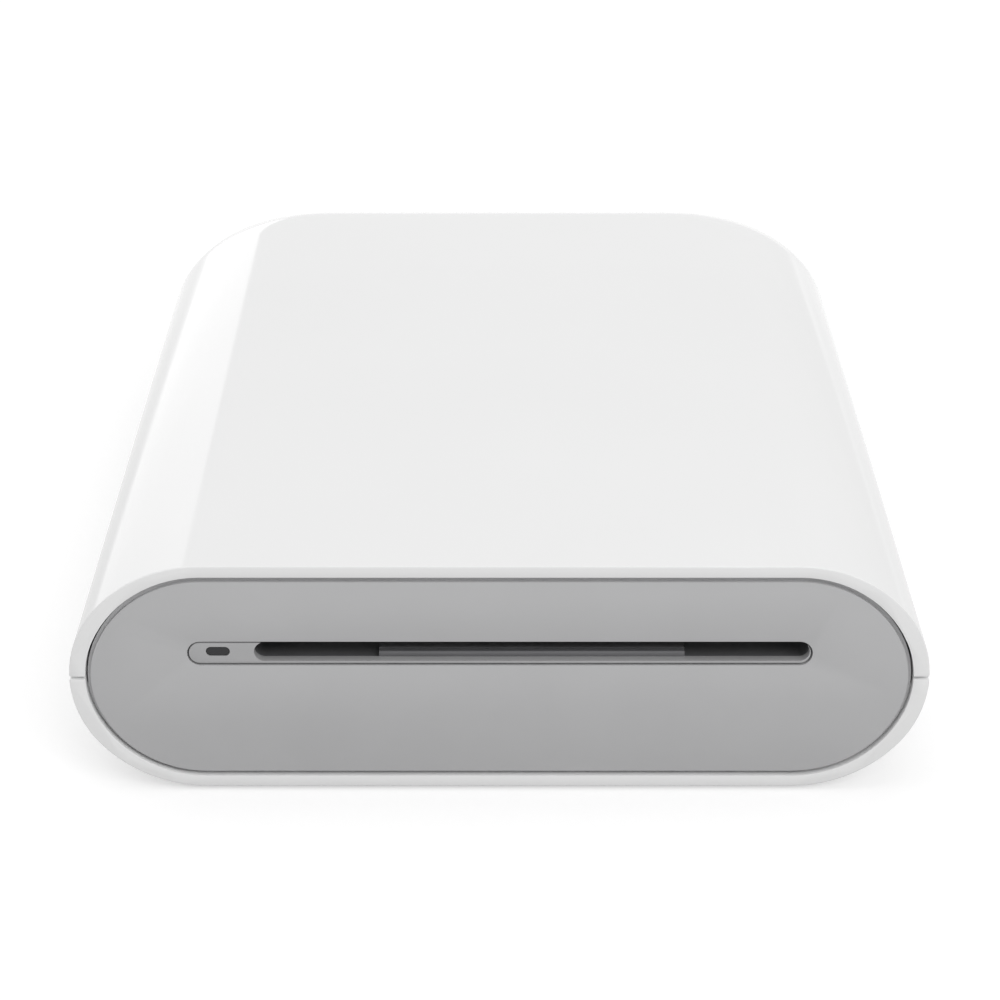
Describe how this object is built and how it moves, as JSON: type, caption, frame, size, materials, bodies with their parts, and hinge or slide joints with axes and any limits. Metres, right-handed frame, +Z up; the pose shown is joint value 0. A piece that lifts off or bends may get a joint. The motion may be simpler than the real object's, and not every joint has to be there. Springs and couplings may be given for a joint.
{
  "type": "compact photo printer",
  "caption": "Pocket photo printer with a pill-shaped section, a rear-hinged half-shell cover and a paper slot in its grey front panel.",
  "frame": {"origin": "middle of the underside of the feet, on the surface that the printer stands on", "axes": "+X to the right of someone facing the slot, -Y out of the slot face, +Z up"},
  "size_m": [0.085, 0.124, 0.0246],
  "materials": {
    "white_shell": "high gloss white moulding",
    "grey_panel": "fine satin",
    "grey_inlay": "fine satin",
    "guide_plastic": "fine satin",
    "lamp_window": "smoked translucent",
    "foot_rubber": "soft matt",
    "bright_steel": "drawn and polished",
    "sheet_steel": "zinc plated sheet",
    "motor_steel": "plated can",
    "dark_moulding": "fine spark texture",
    "gear_plastic": "natural acetal",
    "brass": "turned",
    "roller_rubber": "ground matt",
    "head_ceramic": "fired",
    "sink_aluminium": "extruded",
    "felt": "pressed felt",
    "black_parts": "moulded",
    "plunger_plastic": "moulded",
    "board": "solder mask",
    "cell_foil": "laminated foil"
  },
  "bodies": {
    "base": {"base_shell": "white_shell", "front_panel": "grey_panel", "slot_inlay": "grey_inlay", "exit_guide": "guide_plastic", "status_lens": "lamp_window", "rubber_feet": "foot_rubber", "hinge_pins": "bright_steel", "paper_tray": "dark_moulding", "gear_plate": "sheet_steel", "bearing_plate": "sheet_steel", "platen_bushes": "brass", "pickup_bushes": "brass", "gear_studs": "bright_steel", "drive_motor": "motor_steel", "head_pivot_pin": "bright_steel", "head_springs": "bright_steel", "head_bridge": "sheet_steel", "main_board": "board", "board_chips": "black_parts", "charging_port": "motor_steel", "port_tongue": "black_parts", "power_switch": "black_parts", "reset_switch": "black_parts", "lamp_board": "board", "battery": "cell_foil", "tray_screws": "bright_steel"},
    "cover": {"top_cover": "white_shell", "press_springs": "bright_steel"},
    "presser": {"press_plate": "sheet_steel", "press_pad": "felt"},
    "head": {"print_head": "head_ceramic", "heat_sink": "sink_aluminium", "head_bracket": "sheet_steel"},
    "platen": {"platen_shaft": "bright_steel", "platen_roller": "roller_rubber", "platen_gear": "gear_plastic"},
    "pickup": {"pickup_shaft": "bright_steel", "pickup_tyres": "roller_rubber", "pickup_gear": "gear_plastic"},
    "step": {"step_gear": "gear_plastic"},
    "front_idle": {"front_idler": "gear_plastic"},
    "rear_idle": {"rear_idler": "gear_plastic"},
    "rotor": {"motor_pinion": "brass"},
    "lever": {"paper_lever": "black_parts"},
    "button": {"power_button": "white_shell", "switch_plunger": "plunger_plastic"}
  },
  "joints": [
    {"name": "cover_hinge", "type": "hinge", "parent": "base", "child": "cover", "pos_m": [0, 0.0535, 0.02103], "axis": [-1, 0, 0], "range_deg": [0, 60]},
    {"name": "press_pivot", "type": "hinge", "parent": "cover", "child": "presser", "pos_m": [0, 0.002, 0.0206], "axis": [-1, 0, 0], "range_deg": [0, 6], "stiffness_Nm_per_rad": 0.02, "springref_deg": -11.46, "deforming": ["press_springs"]},
    {"name": "head_pivot", "type": "hinge", "parent": "base", "child": "head", "pos_m": [0, -0.0385, 0.0172], "axis": [-1, 0, 0], "range_deg": [0, 3], "stiffness_Nm_per_rad": 0.05, "springref_deg": -11.46, "deforming": ["head_springs"]},
    {"name": "platen_spin", "type": "hinge", "parent": "base", "child": "platen", "pos_m": [0, -0.048, 0.0117], "axis": [1, 0, 0], "continuous": true},
    {"name": "pickup_spin", "type": "hinge", "parent": "base", "child": "pickup", "pos_m": [0, -0.0205, 0.0106], "axis": [1, 0, 0], "continuous": true},
    {"name": "step_spin", "type": "hinge", "parent": "base", "child": "step", "pos_m": [0, -0.04037, 0.00892], "axis": [1, 0, 0], "continuous": true},
    {"name": "front_idler_spin", "type": "hinge", "parent": "base", "child": "front_idle", "pos_m": [0, -0.03413, 0.01329], "axis": [1, 0, 0], "continuous": true},
    {"name": "rear_idler_spin", "type": "hinge", "parent": "base", "child": "rear_idle", "pos_m": [0, -0.0273, 0.01668], "axis": [1, 0, 0], "continuous": true},
    {"name": "motor_spin", "type": "hinge", "parent": "base", "child": "rotor", "pos_m": [0, -0.03199, 0.0069], "axis": [1, 0, 0], "continuous": true},
    {"name": "lever_pivot", "type": "hinge", "parent": "base", "child": "lever", "pos_m": [0, 0.006, 0.0119], "axis": [1, 0, 0], "range_deg": [0, 25], "stiffness_Nm_per_rad": 0.0005, "springref_deg": -17.19},
    {"name": "power_press", "type": "slide", "parent": "base", "child": "button", "axis": [0, -1, 0], "range_m": [0, 0.0005], "stiffness_N_per_m": 400, "springref_m": -0.0005}
  ],
  "couplings": [
    {"joint": "step_spin", "follows": "platen_spin", "ratio": -1.6667},
    {"joint": "front_idler_spin", "follows": "platen_spin", "ratio": 1.1111},
    {"joint": "rear_idler_spin", "follows": "platen_spin", "ratio": -1.6667},
    {"joint": "pickup_spin", "follows": "platen_spin", "ratio": 0.83333},
    {"joint": "motor_spin", "follows": "platen_spin", "ratio": 4}
  ]
}
